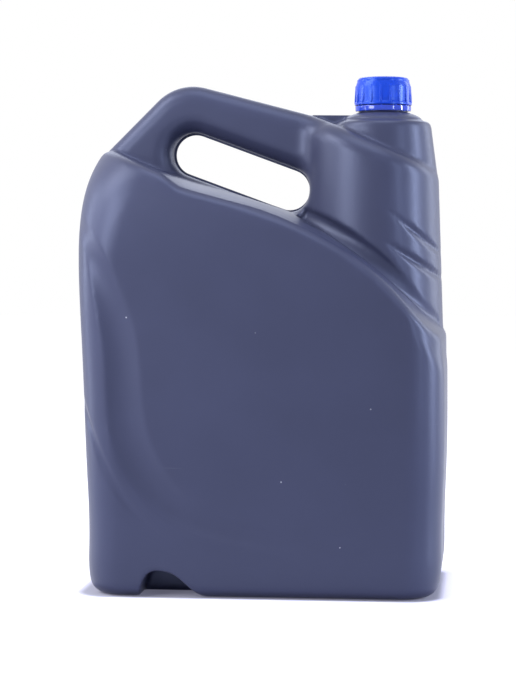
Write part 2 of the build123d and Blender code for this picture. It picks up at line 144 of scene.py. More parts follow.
class JugShape(bpy.types.PropertyGroup):
    """Sizes of the jug's finer forms."""

    skin_grid: bpy.props.FloatProperty(
        name="Skin grid", description="Cell size of the evened skin",
        default=1.35 * MM, unit="LENGTH", precision=5)
    skin_faces: bpy.props.IntProperty(
        name="Skin faces", description="Triangles left in the skin", default=190000, min=1000)
    soften_steps: bpy.props.IntProperty(
        name="Soften steps", description="Passes that soften the moulded edges", default=4, min=0)
    neck_radius: bpy.props.FloatProperty(
        name="Neck radius", description="Outside of the neck tube",
        default=17.2 * MM, unit="LENGTH", precision=5)
    bore_radius: bpy.props.FloatProperty(
        name="Bore radius", description="Inside of the neck tube",
        default=14.6 * MM, unit="LENGTH", precision=5)
    bead_radius: bpy.props.FloatProperty(
        name="Bead radius", description="Bead that keeps the ring on",
        default=18.3 * MM, unit="LENGTH", precision=5)
    collar_radius: bpy.props.FloatProperty(
        name="Collar radius", description="Foot of the collar dome",
        default=27.4 * MM, unit="LENGTH", precision=5)
    collar_step: bpy.props.FloatProperty(
        name="Collar step", description="Upright edge of the collar",
        default=2.2 * MM, unit="LENGTH", precision=5)
    collar_drop: bpy.props.FloatProperty(
        name="Collar drop", description="Collar's foot below the ring",
        default=7.2 * MM, unit="LENGTH", precision=5)
    web_top: bpy.props.FloatProperty(
        name="Web top", description="Top of the web beside the collar",
        default=340.6 * MM, unit="LENGTH", precision=5)
    web_width: bpy.props.FloatProperty(
        name="Web width", description="Thickness of the web", default=3.0 * MM, unit="LENGTH", precision=5)
    thread_radius: bpy.props.FloatProperty(
        name="Thread radius", description="Crest of the thread",
        default=18.4 * MM, unit="LENGTH", precision=5)
    thread_pitch: bpy.props.FloatProperty(
        name="Thread pitch", description="Rise of the thread in a turn",
        default=4.0 * MM, unit="LENGTH", precision=5)
    grip_x: bpy.props.FloatProperty(
        name="Grip centre X", description="Middle of the grip hole",
        default=-17.8 * MM, unit="LENGTH", precision=5)
    grip_z: bpy.props.FloatProperty(
        name="Grip centre Z", description="Middle of the grip hole",
        default=299.6 * MM, unit="LENGTH", precision=5)
    grip_length: bpy.props.FloatProperty(
        name="Grip length", description="Length of the grip hole",
        default=105.0 * MM, unit="LENGTH", precision=5)
    grip_height: bpy.props.FloatProperty(
        name="Grip height", description="Height of the grip hole",
        default=32.0 * MM, unit="LENGTH", precision=5)
    grip_slope: bpy.props.FloatProperty(
        name="Grip slope", description="Fall of the grip hole to the right",
        default=math.radians(20.4), subtype="ANGLE")
    crown_drop: bpy.props.FloatProperty(
        name="Crown drop", description="Fall of the roof to the front and back",
        default=5.0 * MM, unit="LENGTH", precision=5)
    crown_depth: bpy.props.FloatProperty(
        name="Crown depth", description="Where the fall is whole",
        default=68.0 * MM, unit="LENGTH", precision=5)
    crown_reach: bpy.props.FloatProperty(
        name="Crown reach", description="How far below the roof it fades",
        default=20.0 * MM, unit="LENGTH", precision=5)
    crown_foot: bpy.props.FloatProperty(
        name="Crown foot", description="How far up the barrel it fades",
        default=5.0 * MM, unit="LENGTH", precision=5)
    seam_height: bpy.props.FloatProperty(
        name="Seam height", description="How far the pinched seam stands",
        default=1.4 * MM, unit="LENGTH", precision=5)
    seam_width: bpy.props.FloatProperty(
        name="Seam width", description="Thickness of the pinched seam",
        default=1.5 * MM, unit="LENGTH", precision=5)
    rib_count: bpy.props.IntProperty(name="Cap ribs", description="Ribs round the cap", default=18, min=3)
    rib_turn: bpy.props.FloatProperty(
        name="Rib turn", description="Turn of the first rib", default=math.radians(7.6), subtype="ANGLE")
    rib_width: bpy.props.FloatProperty(
        name="Rib width", description="Width of a rib", default=1.6 * MM, unit="LENGTH", precision=5)
    rib_proud: bpy.props.FloatProperty(
        name="Rib height", description="How far a rib stands out",
        default=0.8 * MM, unit="LENGTH", precision=5)
    cap_radius: bpy.props.FloatProperty(
        name="Cap radius", description="Cap between its ribs", default=20.0 * MM, unit="LENGTH", precision=5)
    cap_wall: bpy.props.FloatProperty(
        name="Cap wall", description="Wall of the cap", default=1.2 * MM, unit="LENGTH", precision=5)


class JugLooks(bpy.types.PropertyGroup):
    """Colours and finishes."""

    jug_colour: bpy.props.FloatVectorProperty(
        name="Jug", description="Grey blue of the blown shell",
        default=(0.051, 0.057, 0.112), size=3, subtype="COLOR", min=0, max=1)
    speck_colour: bpy.props.FloatVectorProperty(
        name="Specks", description="Pale specks and scuffs",
        default=(0.55, 0.57, 0.66), size=3, subtype="COLOR", min=0, max=1)
    sheen_colour: bpy.props.FloatVectorProperty(
        name="Sheen", description="Tint of the shell's gloss",
        default=(0.60, 0.68, 1.0), size=3, subtype="COLOR", min=0, max=1)
    cap_colour: bpy.props.FloatVectorProperty(
        name="Cap", description="Bright blue of the cap and ring",
        default=(0.010, 0.062, 0.67), size=3, subtype="COLOR", min=0, max=1)
    cap_sheen: bpy.props.FloatVectorProperty(
        name="Cap sheen", description="Tint of the cap's gloss",
        default=(0.42, 0.68, 1.0), size=3, subtype="COLOR", min=0, max=1)
    liner_colour: bpy.props.FloatVectorProperty(
        name="Liner", description="Off white of the sealing wad",
        default=(0.78, 0.77, 0.73), size=3, subtype="COLOR", min=0, max=1)
    jug_roughness: bpy.props.FloatProperty(
        name="Jug roughness", description="Satin of the shell", default=0.38, min=0, max=1, subtype="FACTOR")
    cap_roughness: bpy.props.FloatProperty(
        name="Cap roughness", description="Satin of the cap", default=0.28, min=0, max=1, subtype="FACTOR")
    ring_roughness: bpy.props.FloatProperty(
        name="Ring roughness", description="Gloss of the ring", default=0.07, min=0, max=1, subtype="FACTOR")


class JugStudio(bpy.types.PropertyGroup):
    """Camera and light."""

    camera_turn: bpy.props.FloatProperty(
        name="Camera turn", description="Towards the neck's side",
        default=math.radians(6.19), subtype="ANGLE")
    camera_distance: bpy.props.FloatProperty(
        name="Camera distance", description="From the jug's middle", default=1.53, unit="LENGTH")
    camera_height: bpy.props.FloatProperty(
        name="Camera height", description="Above the floor", default=0.2443, unit="LENGTH")
    aim: bpy.props.FloatVectorProperty(
        name="Aim", description="Point in the middle of the picture",
        default=(-0.00692, 0.0, 0.17485), size=3, subtype="TRANSLATION", unit="LENGTH")
    lens: bpy.props.FloatProperty(
        name="Lens", description="Focal length on a 36 mm sensor", default=109.74, subtype="DISTANCE_CAMERA")
    world_level: bpy.props.FloatProperty(
        name="Surround", description="Level of the white surround", default=0.04, min=0)
    foot_corner: bpy.props.FloatProperty(
        name="Foot corner", description="Corner radius of the shadow at the foot",
        default=26.0 * MM, unit="LENGTH", precision=5)
    floor_glow: bpy.props.FloatProperty(
        name="Floor glow", description="Share of the floor's white that the shadow leaves",
        default=0.1, min=0)


def new_object(name, mesh):
    """Put a mesh in the scene as a finished piece at the origin."""
    piece = bpy.data.objects.new(name, mesh)
    bpy.context.scene.collection.objects.link(piece)
    return piece


def mesh_from(name, bm):
    """Turn a bmesh into a mesh, smooth shaded up to the angle that is listed for it."""
    smooth_angle = SHARP_ANGLES.get(name)
    mesh = bpy.data.meshes.new(name)
    bm.normal_update()
    for face in bm.faces:
        face.smooth = True
    if smooth_angle is not None:
        for edge in bm.edges:
            edge.smooth = len(edge.link_faces) == 2 and edge.calc_face_angle(0.0) < smooth_angle
    bm.to_mesh(mesh)
    bm.free()
    return mesh


def chain(bm, points):
    """Vertices joined in a line; returns the new vertices and edges."""
    verts = [bm.verts.new(p) for p in points]
    edges = [bm.edges.new((a, b)) for a, b in zip(verts, verts[1:])]
    return verts + edges


def of_kind(geom, kind):
    """The elements of one kind in what a bmesh operator gives back."""
    return [g for g in geom if isinstance(g, kind)]


def spun(bm, outline, steps, closed=True):
    """Spin an outline of (radius, height) pairs about the neck's axis."""
    points = [(NECK_X + r, 0.0, z) for r, z in outline]
    if closed:
        points.append(points[0])
    line = chain(bm, points)
    bmesh.ops.spin(bm, geom=line, cent=(NECK_X, 0, 0), axis=(0, 0, 1), dvec=(0, 0, 0), angle=2 * math.pi,
                   steps=steps, use_merge=True, use_normal_flip=False, use_duplicate=False)
    bmesh.ops.remove_doubles(bm, verts=bm.verts, dist=SPIN_WELD)
    bmesh.ops.recalc_face_normals(bm, faces=bm.faces)


def dress(piece, material, body):
    """Give a piece its material and its body."""
    piece.data.materials.clear()
    piece.data.materials.append(material)
    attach(piece, body)


def put(tree, kind, place, **values):
    """Add a shader node and set its named inputs."""
    node = tree.nodes.new(kind)
    node.location = place
    for name, value in values.items():
        node.inputs[name.replace("_", " ")].default_value = value
    return node


def calc(tree, operation, place, *values):
    """Add a Math node whose inputs are linked from sockets or set to numbers."""
    node = put(tree, "ShaderNodeMath", place)
    node.operation = operation
    for socket, value in zip(node.inputs, values):
        if isinstance(value, bpy.types.NodeSocket):
            tree.links.new(value, socket)
        else:
            socket.default_value = value
    return node.outputs["Value"]


def remap(tree, source, place, **values):
    """Map a value from one range to another."""
    node = put(tree, "ShaderNodeMapRange", place, **values)
    tree.links.new(source, node.inputs["Value"])
    return node


def moulded_grain():
    """Node group for moulded plastic: a slow mottle and the height of a fine grain."""
    group = bpy.data.node_groups.new("moulded_grain", "ShaderNodeTree")
    face = group.interface
    face.new_socket("Vector", in_out="INPUT", socket_type="NodeSocketVector")
    face.new_socket("Mottle Scale", in_out="INPUT", socket_type="NodeSocketFloat")
    face.new_socket("Grain Scale", in_out="INPUT", socket_type="NodeSocketFloat")
    face.new_socket("Mottle", in_out="OUTPUT", socket_type="NodeSocketFloat")
    face.new_socket("Height", in_out="OUTPUT", socket_type="NodeSocketFloat")
    into = group.nodes.new("NodeGroupInput")
    out = group.nodes.new("NodeGroupOutput")
    slow = put(group, "ShaderNodeTexNoise", (0, 200), Detail=4.0, Roughness=0.6)
    fine = put(group, "ShaderNodeTexNoise", (0, -100), Detail=2.0, Roughness=0.5)
    group.links.new(into.outputs["Vector"], slow.inputs["Vector"])
    group.links.new(into.outputs["Vector"], fine.inputs["Vector"])
    group.links.new(into.outputs["Mottle Scale"], slow.inputs["Scale"])
    group.links.new(into.outputs["Grain Scale"], fine.inputs["Scale"])
    group.links.new(slow.outputs["Fac"], out.inputs["Mottle"])
    group.links.new(fine.outputs["Fac"], out.inputs["Height"])
    return group


def handling_marks():
    """Node group for a handled shell: sparse pale specks and thin faint scuffs."""
    group = bpy.data.node_groups.new("handling_marks", "ShaderNodeTree")
    face = group.interface
    face.new_socket("Vector", in_out="INPUT", socket_type="NodeSocketVector")
    face.new_socket("Specks", in_out="OUTPUT", socket_type="NodeSocketFloat")
    face.new_socket("Scuffs", in_out="OUTPUT", socket_type="NodeSocketFloat")
    into = group.nodes.new("NodeGroupInput")
    out = group.nodes.new("NodeGroupOutput")
    cells = put(group, "ShaderNodeTexVoronoi", (0, 200), Scale=SPECK_CELLS, Randomness=1.0)
    group.links.new(into.outputs["Vector"], cells.inputs["Vector"])
    near = remap(group, cells.outputs["Distance"], (200, 200), From_Min=SPECK_EDGE, From_Max=SPECK_CORE)
    split = put(group, "ShaderNodeSeparateColor", (200, 400))
    group.links.new(cells.outputs["Color"], split.inputs["Color"])
    rare = calc(group, "GREATER_THAN", (400, 400), split.outputs["Red"], SPECK_RARITY)
    specks = calc(group, "MULTIPLY", (600, 300), near.outputs["Result"], rare)
    group.links.new(specks, out.inputs["Specks"])
    stretch = put(group, "ShaderNodeMapping", (0, -200), Scale=SCUFF_STRETCH, Rotation=SCUFF_TILT)
    group.links.new(into.outputs["Vector"], stretch.inputs["Vector"])
    streak = put(group, "ShaderNodeTexNoise", (200, -200), Scale=1.0, Detail=1.0)
    group.links.new(stretch.outputs["Vector"], streak.inputs["Vector"])
    thin = remap(group, streak.outputs["Fac"], (400, -200), From_Min=SCUFF_START, From_Max=SCUFF_FULL)
    group.links.new(thin.outputs["Result"], out.inputs["Scuffs"])
    return group


def base_material(name, colour, roughness):
    """Material with a Principled shader and Object coordinates, ready for its nodes."""
    material = bpy.data.materials.new(name)
    material.use_nodes = True
    material.diffuse_color = (*colour, 1.0)
    tree = material.node_tree
    shader = tree.nodes["Principled BSDF"]
    shader.inputs["Base Color"].default_value = (*colour, 1.0)
    shader.inputs["Roughness"].default_value = roughness
    where = put(tree, "ShaderNodeTexCoord", (-1200, 0))
    return material, tree, shader, where


def grain_node(tree, where, mottle_scale, grain_scale):
    """Place the shared grain group in a material."""
    grain = tree.nodes.new("ShaderNodeGroup")
    grain.node_tree = bpy.data.node_groups.get("moulded_grain") or moulded_grain()
    grain.location = (-900, 0)
    grain.inputs["Mottle Scale"].default_value = mottle_scale
    grain.inputs["Grain Scale"].default_value = grain_scale
    tree.links.new(where.outputs["Object"], grain.inputs["Vector"])
    return grain


def vary(tree, source, low, high, place):
    """Map a noise value to a range of numbers."""
    node = remap(tree, source, place, From_Min=NOISE_LOW, From_Max=NOISE_HIGH, To_Min=low, To_Max=high)
    return node.outputs["Result"]


def colour_mix(tree, factor, place):
    """Mix node for two colours."""
    node = tree.nodes.new("ShaderNodeMix")
    node.data_type = "RGBA"
    node.location = place
    tree.links.new(factor, node.inputs[MIX_FACTOR])
    return node


def mottled(tree, grain, colour, darkest, lightest):
    """Colour that drifts with the mottle between a darker and a lighter tint."""
    node = colour_mix(tree, vary(tree, grain.outputs["Mottle"], 0.0, 1.0, (-700, 200)), (-500, 200))
    node.inputs[MIX_A].default_value = (*(c * darkest for c in colour), 1.0)
    node.inputs[MIX_B].default_value = (*(min(1.0, c * lightest) for c in colour), 1.0)
    return node.outputs[MIX_RESULT]


def bumped(tree, shader, height, place, strength, distance):
    """Let a height shape the shader's normal."""
    bump = put(tree, "ShaderNodeBump", place, Strength=strength, Distance=distance)
    tree.links.new(height, bump.inputs["Height"])
    tree.links.new(bump.outputs["Normal"], shader.inputs["Normal"])


def shell_material(looks):
    """Satin grey-blue polyethylene with mottle, fine grain, a parting line, pale specks and faint scuffs."""
    colour = tuple(looks.jug_colour)
    material, tree, shader, where = base_material("jug_plastic", colour, looks.jug_roughness)
    shader.inputs["Specular Tint"].default_value = (*looks.sheen_colour, 1.0)
    grain = grain_node(tree, where, 14.0, 900.0)
    marks = tree.nodes.new("ShaderNodeGroup")
    marks.node_tree = handling_marks()
    marks.location = (-900, -300)
    tree.links.new(where.outputs["Object"], marks.inputs["Vector"])
    seen = calc(tree, "MULTIPLY_ADD", (-700, -200), marks.outputs["Scuffs"], SCUFF_SHARE,
                marks.outputs["Specks"])
    pale = colour_mix(tree, seen, (-250, 200))
    pale.inputs[MIX_B].default_value = (*looks.speck_colour, 1.0)
    tree.links.new(mottled(tree, grain, colour, 0.94, 1.06), pale.inputs[MIX_A])
    tree.links.new(pale.outputs[MIX_RESULT], shader.inputs["Base Color"])
    rough = looks.jug_roughness
    tree.links.new(vary(tree, grain.outputs["Mottle"], rough - 0.03, rough + 0.04, (-700, -50)),
                   shader.inputs["Roughness"])
    split = put(tree, "ShaderNodeSeparateXYZ", (-900, -600))
    tree.links.new(where.outputs["Object"], split.inputs["Vector"])
    away = calc(tree, "ABSOLUTE", (-700, -600), split.outputs["Y"])
    ridge = remap(tree, away, (-500, -600), From_Min=LINE_EDGE, From_Max=LINE_CREST, To_Max=LINE_HEIGHT)
    ridge.interpolation_type = "SMOOTHSTEP"
    height = calc(tree, "ADD", (-300, -500), grain.outputs["Height"], ridge.outputs["Result"])
    bumped(tree, shader, height, (-100, -400), 0.12, 0.0002)
    return material


def cap_material(name, colour, roughness, drift, sheen):
    """Injection-moulded blue plastic with a slight mottle and grain."""
    material, tree, shader, where = base_material(name, colour, roughness)
    shader.inputs["Specular Tint"].default_value = (*sheen, 1.0)
    grain = grain_node(tree, where, 90.0, 2200.0)
    tree.links.new(mottled(tree, grain, colour, 0.9, 1.08), shader.inputs["Base Color"])
    tree.links.new(vary(tree, grain.outputs["Mottle"], roughness - drift, roughness + drift, (-700, -50)),
                   shader.inputs["Roughness"])
    bumped(tree, shader, grain.outputs["Height"], (-300, -400), 0.06, 0.0001)
    return material


def liner_material(looks):
    """Soft foamed wad with open grain."""
    colour = tuple(looks.liner_colour)
    material, tree, shader, where = base_material("liner_foam", colour, LINER_ROUGHNESS)
    grain = grain_node(tree, where, 260.0, 3000.0)
    tree.links.new(mottled(tree, grain, colour, 0.86, 1.0), shader.inputs["Base Color"])
    bumped(tree, shader, grain.outputs["Height"], (-300, -400), 0.4, 0.0002)
    return material


def in_grip_frame(shape, x, z):
    """Place along and across the slanted grip hole."""
    dx = x - shape.grip_x
    dz = z - shape.grip_z
    turn = shape.grip_slope
    return dx * math.cos(turn) - dz * math.sin(turn), dx * math.sin(turn) + dz * math.cos(turn)


def from_grip_frame(shape, along, across):
    """Place in X and Z of a spot along and across the grip hole."""
    turn = shape.grip_slope
    x = along * math.cos(turn) + across * math.sin(turn)
    z = across * math.cos(turn) - along * math.sin(turn)
    return shape.grip_x + x, shape.grip_z + z


def flatten_seam(bm, shape):
    """Push the pinched seam of the copy back to the hole's wall, so that it can be made finer by itself."""
    half = (shape.grip_length - shape.grip_height) / 2
    wall = shape.grip_height / 2
    for vert in bm.verts:
        if abs(vert.co.y) > SEAM_BAND:
            continue
        along, across = in_grip_frame(shape, vert.co.x, vert.co.z)
        end = max(-half, min(half, along))
        reach = math.hypot(along - end, across)
        if wall - SEAM_RISE < reach < wall - WELD:
            grow = wall / reach
            vert.co.x, vert.co.z = from_grip_frame(shape, end + (along - end) * grow, across * grow)


def smooth_step(share):
    """Ease from 0 to 1."""
    share = max(0.0, min(1.0, share))
    return share * share * (3 - 2 * share)


def crown_roof(bm, shape):
    """Let the roof fall from the parting plane to front and back, below the grip and beside the barrel."""
    start = ROOF_LINE[0][0]
    for vert in bm.verts:
        x, z = vert.co.x, vert.co.z
        if x < start or z > ROOF_LINE[0][1]:
            continue
        spans = zip(ROOF_LINE, ROOF_LINE[1:])
        (x0, z0), (x1, z1) = next(((p, q) for p, q in spans if x <= q[0]), ROOF_LINE[-2:])
        long = math.hypot(x1 - x0, z1 - z0)
        out_x, out_z = (z0 - z1) / long, (x1 - x0) / long
        depth = (z0 + (z1 - z0) * (x - x0) / (x1 - x0) - z) * out_z
        reach = shape.crown_reach if depth > 0 else shape.crown_foot
        if abs(depth) < reach:
            side = min(1.0, abs(vert.co.y) / shape.crown_depth) ** 2
            fade = (1 - smooth_step(abs(depth) / reach)) * smooth_step((x - start) / shape.crown_reach)
            fall = shape.crown_drop * side * fade
            vert.co.x -= out_x * fall
            vert.co.z -= out_z * fall


def island_of(vert):
    """All the vertices that hang together with one."""
    found = {vert}
    front = [vert]
    while front:
        spot = front.pop()
        for edge in spot.link_edges:
            other = edge.other_vert(spot)
            if other not in found:
                found.add(other)
                front.append(other)
    return found


def applied(mesh, kind, **settings):
    """Mesh with one modifier worked in; the mesh that went in is dropped."""
    carrier = new_object(mesh.name, mesh)
    change = carrier.modifiers.new(kind.lower(), kind)
    for name, value in settings.items():
        setattr(change, name, value)
    seen = carrier.evaluated_get(bpy.context.evaluated_depsgraph_get())
    made = bpy.data.meshes.new_from_object(seen)
    bpy.data.objects.remove(carrier)
    bpy.data.meshes.remove(mesh)
    return made


def skin_mesh(shape):
    """Outer skin of the blown shell: cut below the neck, closed, evened out and softened."""
    bm = bmesh.new()
    bm.from_mesh(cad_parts["jug_body"].data)
    bmesh.ops.remove_doubles(bm, verts=bm.verts, dist=WELD)
    flatten_seam(bm, shape)
    cut_z = RING_LOW.z - SKIN_CUT
    tube = [f for f in bm.faces if max(math.hypot(v.co.x - NECK_X, v.co.y) for v in f.verts) < NECK_REACH]
    around = tube + list({e for f in tube for e in f.edges}) + list({v for f in tube for v in f.verts})
    bmesh.ops.bisect_plane(bm, geom=around, dist=CUT_TOLERANCE, plane_co=(0, 0, cut_z), plane_no=(0, 0, 1),
                           clear_outer=True)
    keep = island_of(min(bm.verts, key=lambda v: v.co.z))
    bmesh.ops.delete(bm, geom=[v for v in bm.verts if v not in keep], context="VERTS")
    rim = [e for e in bm.edges if e.is_boundary]
    bmesh.ops.holes_fill(bm, edges=rim, sides=0)
    rough = bpy.data.meshes.new("skin_rough")
    bm.to_mesh(rough)
    bm.free()
    fine = applied(rough, "REMESH", mode="VOXEL", voxel_size=shape.skin_grid)
    bm = bmesh.new()
    bm.from_mesh(fine)
    crown_roof(bm, shape)
    for _ in range(shape.soften_steps):
        bmesh.ops.smooth_vert(bm, verts=bm.verts, factor=0.5, use_axis_x=True, use_axis_y=True,
                              use_axis_z=True)
    bm.to_mesh(fine)
    count = sum(len(f.verts) - 2 for f in bm.faces)
    bm.free()
    if count > shape.skin_faces:
        fine = applied(fine, "DECIMATE", ratio=shape.skin_faces / count)
    bm = bmesh.new()
    bm.from_mesh(fine)
    bpy.data.meshes.remove(fine)
    return mesh_from("jug_shell", bm)


def neck_mesh(shape):
    """Collar dome and neck tube with its bead, its rounded rim and one thread that winds up it."""
    foot = RING_LOW.z - shape.collar_drop
    low = foot - 3.0 * MM
    tube = RING_LOW.z - 1.0 * MM
    bead = RING_HIGH.z - 0.6 * MM
    outer, inner, wide = shape.neck_radius, shape.bore_radius, shape.collar_radius
    brim = foot + shape.collar_step
    rise, run = tube - brim, wide - outer - 1.0 * MM
    dome = [(wide - run * across, brim + rise * up)
            for across, up in ((0.18, 0.29), (0.41, 0.55), (0.68, 0.79))]
    bm = bmesh.new()
    spun(bm, [(inner, low), (wide + 0.4 * MM, low), (wide + 0.1 * MM, brim - 0.5 * MM),
              (wide - 0.1 * MM, brim - 0.1 * MM), (wide - 0.4 * MM, brim + 0.1 * MM), *dome,
              (outer + 1.0 * MM, tube), (outer + 0.3 * MM, tube + 0.2 * MM), (outer, tube + 0.5 * MM),
              (outer, bead), (shape.bead_radius - 0.2 * MM, bead),
              (shape.bead_radius, bead + 0.3 * MM), (shape.bead_radius, bead + 0.6 * MM),
              (outer, bead + 2.4 * MM), (outer, RIM_Z - 0.7 * MM), (outer - 0.2 * MM, RIM_Z - 0.2 * MM),
              (outer - 0.7 * MM, RIM_Z), (inner + 0.7 * MM, RIM_Z), (inner + 0.2 * MM, RIM_Z - 0.2 * MM),
              (inner, RIM_Z - 0.7 * MM)], NECK_STEPS)
    start_z = bead + 4.4 * MM
    crest = shape.thread_radius
    outline = [(outer - 0.3 * MM, -1.15 * MM), (crest - 0.25 * MM, -0.5 * MM), (crest, 0.0),
               (crest - 0.25 * MM, 0.45 * MM), (outer - 0.3 * MM, 1.0 * MM)]
    line = chain(bm, [(NECK_X + r, 0.0, start_z + z) for r, z in outline])
    bmesh.ops.spin(bm, geom=line, cent=(NECK_X, 0, 0), axis=(0, 0, 1),
                   dvec=(0, 0, shape.thread_pitch / THREAD_STEPS), angle=2 * math.pi * THREAD_TURNS,
                   steps=int(THREAD_STEPS * THREAD_TURNS), use_merge=False, use_duplicate=False)
    open_edges = [e for e in bm.edges if e.is_boundary]
    bmesh.ops.holes_fill(bm, edges=open_edges, sides=12)
    bmesh.ops.recalc_face_normals(bm, faces=bm.faces)
    return mesh_from("jug_neck", bm)


def seam_mesh(shape):
    """Pinched seam that runs round the inside of the grip hole."""
    half = (shape.grip_length - shape.grip_height) / 2
    wall = shape.grip_height / 2 + 0.6 * MM
    crest = shape.grip_height / 2 - shape.seam_height
    wide = shape.seam_width / 2
    bm = bmesh.new()
    section = [(wall, -wide), (crest + 0.3 * MM, -wide), (crest, -0.6 * wide), (crest, 0.6 * wide),
               (crest + 0.3 * MM, wide), (wall, wide)]
    points = [(half, y, r) for r, y in section]
    line = chain(bm, points + points[:1])
    arc = dict(axis=(0, 1, 0), dvec=(0, 0, 0), angle=math.pi, steps=SEAM_STEPS, use_merge=False,
               use_duplicate=False)
    ahead = bmesh.ops.spin(bm, geom=line, cent=(half, 0, 0), **arc)["geom_last"]
    edges = of_kind(ahead, bmesh.types.BMEdge)
    run = bmesh.ops.extrude_edge_only(bm, edges=edges)["geom"]
    bmesh.ops.translate(bm, vec=(-2 * half, 0, 0), verts=of_kind(run, bmesh.types.BMVert))
    back = [g for g in run if not isinstance(g, bmesh.types.BMFace)]
    last = bmesh.ops.spin(bm, geom=back, cent=(-half, 0, 0), **arc)["geom_last"]
    edges = of_kind(last, bmesh.types.BMEdge)
    run = bmesh.ops.extrude_edge_only(bm, edges=edges)["geom"]
    bmesh.ops.translate(bm, vec=(2 * half, 0, 0), verts=of_kind(run, bmesh.types.BMVert))
    bmesh.ops.remove_doubles(bm, verts=bm.verts, dist=WELD)
    bmesh.ops.recalc_face_normals(bm, faces=bm.faces)
    turn = Matrix.Rotation(shape.grip_slope, 4, "Y")
    bmesh.ops.transform(bm, matrix=Matrix.Translation((shape.grip_x, 0, shape.grip_z)) @ turn, verts=bm.verts)
    return mesh_from("grip_seam", bm)


def web_mesh(shape):
    """Thin web on the parting plane between the end of the handle and the collar."""
    left, right = 33.0 * MM, NECK_X - shape.neck_radius
    top, half = shape.web_top, shape.web_width / 2
    bm = bmesh.new()
    corners = [(left, top - 14 * MM), (right, top - 28 * MM), (right, top), (left, top + 0.4 * MM)]
    side = bm.faces.new([bm.verts.new((x, -half, z)) for x, z in corners])
    grown = bmesh.ops.extrude_face_region(bm, geom=[side])["geom"]
    bmesh.ops.translate(bm, vec=(0, 2 * half, 0), verts=of_kind(grown, bmesh.types.BMVert))
    bmesh.ops.recalc_face_normals(bm, faces=bm.faces)
    upper = [e for e in bm.edges if min(v.co.z for v in e.verts) > top - 1 * MM]
    bmesh.ops.bevel(bm, geom=upper, offset=0.5 * MM, offset_type="OFFSET", affect="EDGES", segments=3,
                    profile=0.5, material=-1)
    return mesh_from("collar_web", bm)


def cap_mesh(shape):
    """Ribbed cap: a spun shell with a cone top and rounded lip, and a ring of rounded ribs."""
    radius = shape.cap_radius
    foot, top = CAP_LOW.z, CAP_HIGH.z
    inner = radius - shape.cap_wall
    rib_top = top - 6.6 * MM
    bm = bmesh.new()
    spun(bm, [(0.0, top), (radius - 5.0 * MM, top), (radius - 3.4 * MM, top - 0.1 * MM),
              (radius - 2.2 * MM, top - 0.7 * MM), (radius - 1.6 * MM, top - 1.8 * MM),
              (radius - 0.1 * MM, rib_top), (radius, rib_top - 0.6 * MM), (radius, foot + 2.6 * MM),
              (radius + 0.1 * MM, foot + 2.2 * MM), (radius + 0.5 * MM, foot + 1.8 * MM),
              (radius + 0.6 * MM, foot + 1.5 * MM),
              (radius + 0.6 * MM, foot + 0.3 * MM), (radius + 0.3 * MM, foot), (inner + 0.2 * MM, foot),
              (inner, foot + 0.2 * MM), (inner, LINER_HIGH.z), (0.0, LINER_HIGH.z)], CAP_STEPS, closed=False)
    rib_foot = foot + 1.2 * MM
    high = rib_top + 0.6 * MM - rib_foot
    rib = bmesh.ops.create_cube(bm, size=1.0)["verts"]
    reach = shape.rib_proud + 1.0 * MM
    bmesh.ops.scale(bm, vec=(reach, shape.rib_width, high), verts=rib)
    middle = (NECK_X + radius + shape.rib_proud - reach / 2, 0, rib_foot + high / 2)
    bmesh.ops.translate(bm, vec=middle, verts=rib)
    upper = [v for v in rib if v.co.z > foot + high / 2]
    outer_x = NECK_X + radius + shape.rib_proud / 2
    bmesh.ops.translate(bm, vec=(-0.75 * MM, 0, 0), verts=[v for v in upper if v.co.x > outer_x])
    tall = set(rib)
    proud = [e for e in bm.edges if e.verts[0] in tall and e.verts[1] in tall
             and (e.verts[0].co.x + e.verts[1].co.x) / 2 > outer_x - 0.6 * MM]
    bevelled = bmesh.ops.bevel(bm, geom=proud, offset=0.38 * MM, offset_type="OFFSET", affect="EDGES",
                               segments=3, profile=0.5, material=-1)
    body = {v for v in tall if v.is_valid} | {v for f in bevelled["faces"] for v in f.verts}
    piece = [f for f in bm.faces if all(v in body for v in f.verts)]
    turn = Matrix.Rotation(shape.rib_turn, 3, "Z")
    bmesh.ops.rotate(bm, cent=(NECK_X, 0, 0), matrix=turn, verts=list(body))
    bmesh.ops.spin(bm, geom=piece, cent=(NECK_X, 0, 0), axis=(0, 0, 1), dvec=(0, 0, 0), angle=2 * math.pi,
                   steps=shape.rib_count, use_duplicate=True, use_merge=False)
    bmesh.ops.delete(bm, geom=[f for f in piece if f.is_valid], context="FACES")
    bmesh.ops.recalc_face_normals(bm, faces=bm.faces)
    return mesh_from("cap_shell", bm)


